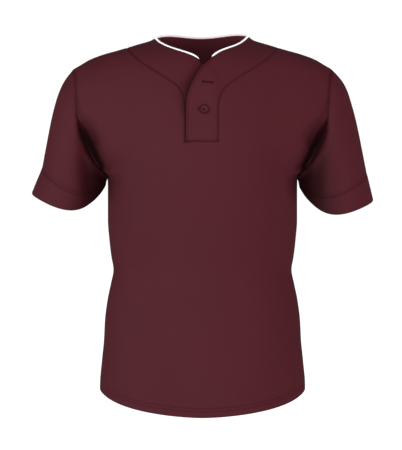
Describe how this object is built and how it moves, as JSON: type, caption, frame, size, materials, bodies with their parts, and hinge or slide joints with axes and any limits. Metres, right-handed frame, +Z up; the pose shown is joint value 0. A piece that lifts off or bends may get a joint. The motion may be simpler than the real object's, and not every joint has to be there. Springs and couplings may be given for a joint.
{
  "type": "baseball jersey",
  "caption": "Short-sleeved pullover jersey with a front placket, a curved neck yoke, contrast neck piping and banded sleeves, filled out as worn with nothing in it.",
  "frame": {"origin": "middle of the line between the neck ends of the two shoulder seams, where the jersey hangs on a wearer's shoulders", "axes": "+X to the wearer's left, the front faces -Y, +Z up along the body"},
  "size_m": [0.6829, 0.2513, 0.7599],
  "materials": {
    "maroon_knit": "smooth matt knit",
    "white_piping": "smooth satin binding",
    "maroon_button": "half gloss"
  },
  "bodies": {
    "root": {"front_panel": "maroon_knit", "back_panel": "maroon_knit", "neck_yoke_left_top_placket": "maroon_knit", "neck_yoke_right_under_placket": "maroon_knit", "sleeve_left": "maroon_knit", "sleeve_band_left": "maroon_knit", "sleeve_right": "maroon_knit", "sleeve_band_right": "maroon_knit", "neck_piping": "white_piping", "button_lower": "maroon_button", "button_top_unfastened": "maroon_button"}
  },
  "joints": []
}
